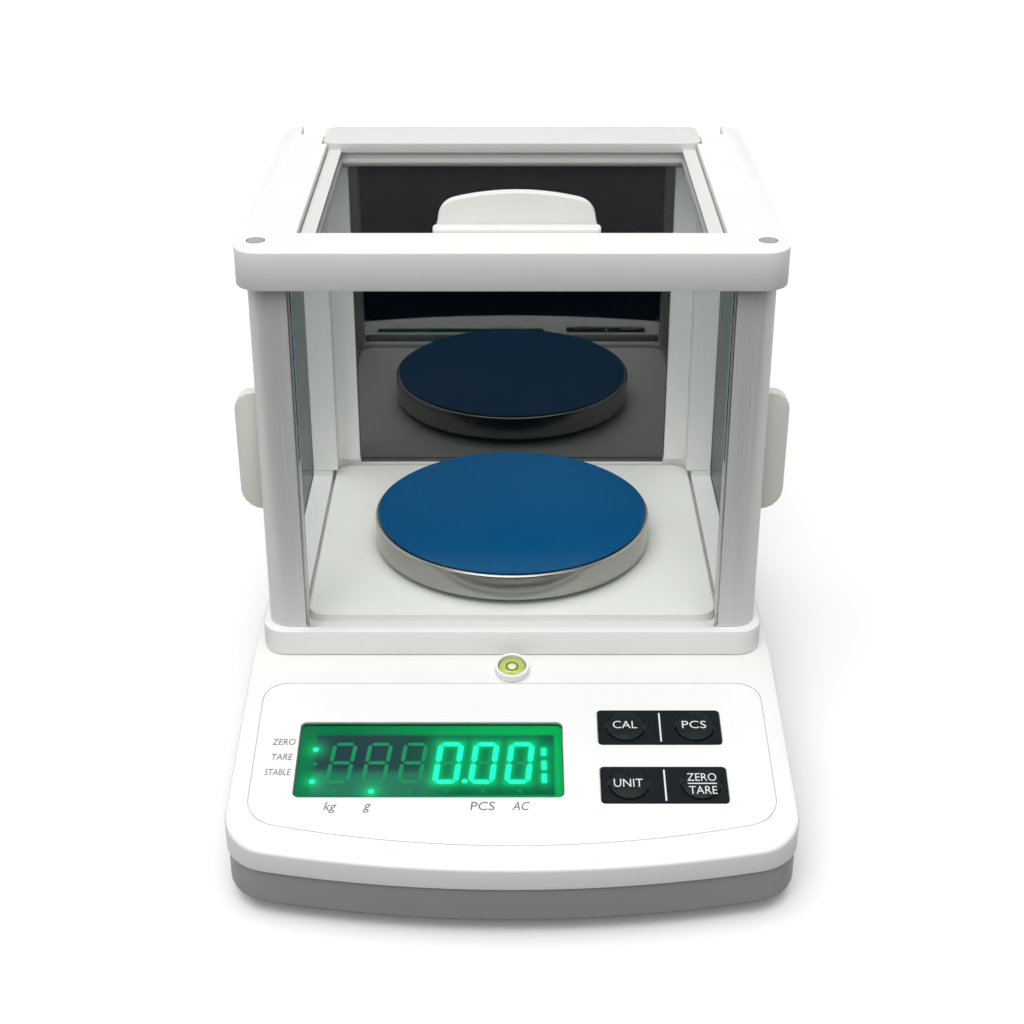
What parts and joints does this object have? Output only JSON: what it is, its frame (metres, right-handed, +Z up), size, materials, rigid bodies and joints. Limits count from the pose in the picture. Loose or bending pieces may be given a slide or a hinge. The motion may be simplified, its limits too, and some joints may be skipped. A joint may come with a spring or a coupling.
{
  "type": "jewellery scale",
  "caption": "Precision jewellery scale with a glass draught shield that slides open at the sides and top, a round steel pan, a sloping key panel with a green display and levelling feet.",
  "frame": {"origin": "centre of the bounding box in X and Y, on the surface that the feet stand on", "axes": "+Z up, -Y towards the person who reads the display, +X to that person's right"},
  "size_m": [0.216, 0.292, 0.2338],
  "materials": {
    "white_plastic": "fine satin",
    "grey_plastic": "fine matt grain",
    "black_plastic": "satin black",
    "aluminium": "brushed, clear anodised",
    "stainless_steel": "turned and polished",
    "zinc_plated_steel": "zinc plated steel",
    "clear_glass": "polished, faint green edge",
    "dark_mirror": "dark mirror",
    "green_lens": "glossy green filter",
    "blue_film": "blue protective film",
    "circuit_board": "solder mask",
    "level_liquid": "yellow-green liquid in a clear vial",
    "rubber": "matt"
  },
  "bodies": {
    "base": {"upper_housing": "white_plastic", "shield_base_frame": "white_plastic", "shield_top_frame": "white_plastic", "chamber_tray": "white_plastic", "control_overlay": "white_plastic", "level_ring": "white_plastic", "lower_housing": "grey_plastic", "corner_plug_left": "grey_plastic", "corner_plug_right": "grey_plastic", "key_strip_upper": "black_plastic", "key_strip_lower": "black_plastic", "display_module": "black_plastic", "battery": "black_plastic", "dc_socket": "black_plastic", "switch_case": "black_plastic", "load_cell": "aluminium", "load_cell_block": "aluminium", "column_front_left": "aluminium", "column_screw_front_left": "zinc_plated_steel", "housing_screw_front_left": "zinc_plated_steel", "column_front_right": "aluminium", "column_screw_front_right": "zinc_plated_steel", "housing_screw_front_right": "zinc_plated_steel", "column_rear_left": "aluminium", "column_screw_rear_left": "zinc_plated_steel", "housing_screw_rear_left": "zinc_plated_steel", "column_rear_right": "aluminium", "column_screw_rear_right": "zinc_plated_steel", "housing_screw_rear_right": "zinc_plated_steel", "front_glass": "clear_glass", "rear_panel": "dark_mirror", "display_window": "green_lens", "display_board": "circuit_board", "main_board": "circuit_board", "level_vial": "level_liquid"},
    "left_door": {"door_glass_left": "clear_glass", "door_handle_left": "white_plastic"},
    "right_door": {"door_glass_right": "clear_glass", "door_handle_right": "white_plastic"},
    "top_cover": {"cover_frame": "white_plastic", "cover_glass": "clear_glass", "cover_handle": "white_plastic"},
    "carrier": {"pan_carrier": "aluminium"},
    "pan": {"weighing_pan": "stainless_steel", "pan_film": "blue_film"},
    "rocker": {"power_rocker": "black_plastic"},
    "button_cal": {"key_cal": "black_plastic"},
    "button_pcs": {"key_pcs": "black_plastic"},
    "button_unit": {"key_unit": "black_plastic"},
    "button_zero_tare": {"key_zero_tare": "black_plastic"},
    "foot_front_left": {"levelling_foot_front_left": "rubber"},
    "foot_front_right": {"levelling_foot_front_right": "rubber"},
    "foot_rear_left": {"levelling_foot_rear_left": "rubber"},
    "foot_rear_right": {"levelling_foot_rear_right": "rubber"}
  },
  "joints": [
    {"name": "left_door_slide", "type": "slide", "parent": "base", "child": "left_door", "axis": [0, 1, 0], "range_m": [0, 0.115]},
    {"name": "right_door_slide", "type": "slide", "parent": "base", "child": "right_door", "axis": [0, 1, 0], "range_m": [0, 0.115]},
    {"name": "top_cover_slide", "type": "slide", "parent": "base", "child": "top_cover", "axis": [0, 1, 0], "range_m": [0, 0.095]},
    {"name": "load_cell_deflection", "type": "slide", "parent": "base", "child": "carrier", "axis": [0, 0, -1], "range_m": [0, 0.0004], "stiffness_N_per_m": 15000, "springref_m": -0.00018},
    {"name": "pan_lift_off", "type": "slide", "parent": "carrier", "child": "pan", "axis": [0, 0, 1], "range_m": [0, 0.06]},
    {"name": "power_rocker_tilt", "type": "hinge", "parent": "base", "child": "rocker", "pos_m": [-0.036, 0.1432, 0.034], "axis": [1, 0, 0], "range_deg": [0, 16]},
    {"name": "key_cal_press", "type": "slide", "parent": "base", "child": "button_cal", "axis": [0, 0.2062, -0.9785], "range_m": [0, 0.0006], "stiffness_N_per_m": 600, "springref_m": -0.0002},
    {"name": "key_pcs_press", "type": "slide", "parent": "base", "child": "button_pcs", "axis": [0, 0.2062, -0.9785], "range_m": [0, 0.0006], "stiffness_N_per_m": 600, "springref_m": -0.0002},
    {"name": "key_unit_press", "type": "slide", "parent": "base", "child": "button_unit", "axis": [0, 0.2062, -0.9785], "range_m": [0, 0.0006], "stiffness_N_per_m": 600, "springref_m": -0.0002},
    {"name": "key_zero_tare_press", "type": "slide", "parent": "base", "child": "button_zero_tare", "axis": [0, 0.2062, -0.9785], "range_m": [0, 0.0006], "stiffness_N_per_m": 600, "springref_m": -0.0002},
    {"name": "foot_front_left_turn", "type": "hinge", "parent": "base", "child": "foot_front_left", "pos_m": [-0.082, -0.112, 0], "axis": [0, 0, 1], "range_deg": [0, 720]},
    {"name": "foot_front_right_turn", "type": "hinge", "parent": "base", "child": "foot_front_right", "pos_m": [0.082, -0.112, 0], "axis": [0, 0, 1], "range_deg": [0, 720]},
    {"name": "foot_rear_left_turn", "type": "hinge", "parent": "base", "child": "foot_rear_left", "pos_m": [-0.084, 0.124, 0], "axis": [0, 0, 1], "range_deg": [0, 720]},
    {"name": "foot_rear_right_turn", "type": "hinge", "parent": "base", "child": "foot_rear_right", "pos_m": [0.084, 0.124, 0], "axis": [0, 0, 1], "range_deg": [0, 720]}
  ]
}
